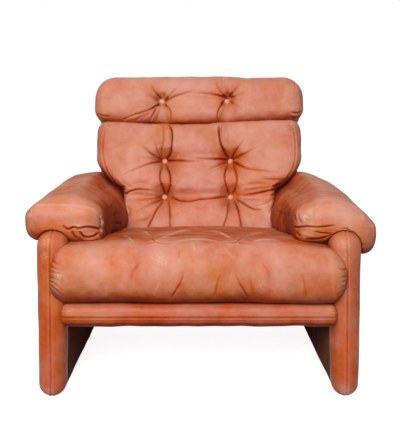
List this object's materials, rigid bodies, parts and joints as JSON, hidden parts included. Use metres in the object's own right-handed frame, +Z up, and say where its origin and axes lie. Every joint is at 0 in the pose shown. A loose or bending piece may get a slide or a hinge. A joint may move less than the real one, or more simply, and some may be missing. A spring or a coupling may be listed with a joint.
{
  "type": "low lounge armchair",
  "caption": "Low lounge armchair in worn sagging leather, with a button-tufted leaning back, headrest roll, loose seat cushion and arm pads saddled over slab sides.",
  "frame": {"origin": "on the floor under the middle of the chair's outline", "axes": "+Z up, -Y the way the sitter faces, +X to the right of someone who looks at the chair's front"},
  "size_m": [0.978, 0.877, 0.9147],
  "materials": {
    "worn_leather": "worn, semi-matt, scuffed",
    "button_leather": "covered buttons, semi-matt",
    "board": "raw board",
    "frame_wood": "raw sawn",
    "webbing": "woven",
    "dust_cloth": "thin black cloth",
    "nylon": "moulded",
    "steel": "zinc plated"
  },
  "bodies": {
    "root": {"back_bottom_rail": "frame_wood", "back_button_head_left": "button_leather", "back_button_head_right": "button_leather", "back_button_low_left": "button_leather", "back_button_low_right": "button_leather", "back_button_mid_left": "button_leather", "back_button_mid_right": "button_leather", "back_cushion": "worn_leather", "back_foot_strap": "webbing", "back_head_strap": "webbing", "back_left_high_bolt": "steel", "back_left_high_t_nut": "steel", "back_left_low_bolt": "steel", "back_left_low_t_nut": "steel", "back_left_upright": "frame_wood", "back_low_strap": "webbing", "back_mid_strap": "webbing", "back_middle_rail": "frame_wood", "back_right_high_bolt": "steel", "back_right_high_t_nut": "steel", "back_right_low_bolt": "steel", "back_right_low_t_nut": "steel", "back_right_upright": "frame_wood", "back_shell": "worn_leather", "back_top_rail": "frame_wood", "headrest_cushion": "worn_leather", "left_arm_pad": "worn_leather", "left_front_glide": "nylon", "left_rear_glide": "nylon", "left_side_board": "board", "left_side_cover": "worn_leather", "right_arm_pad": "worn_leather", "right_front_glide": "nylon", "right_rear_glide": "nylon", "right_side_board": "board", "right_side_cover": "worn_leather", "seat_button_left": "button_leather", "seat_button_right": "button_leather", "seat_cushion": "worn_leather", "seat_front_rail": "frame_wood", "seat_left_front_bolt": "steel", "seat_left_front_t_nut": "steel", "seat_left_rail": "frame_wood", "seat_left_rear_bolt": "steel", "seat_left_rear_t_nut": "steel", "seat_platform": "worn_leather", "seat_rear_rail": "frame_wood", "seat_right_front_bolt": "steel", "seat_right_front_t_nut": "steel", "seat_right_rail": "frame_wood", "seat_right_rear_bolt": "steel", "seat_right_rear_t_nut": "steel", "seat_strap_1": "webbing", "seat_strap_2": "webbing", "seat_strap_3": "webbing", "seat_strap_4": "webbing", "underseat_cloth": "dust_cloth"}
  },
  "joints": []
}
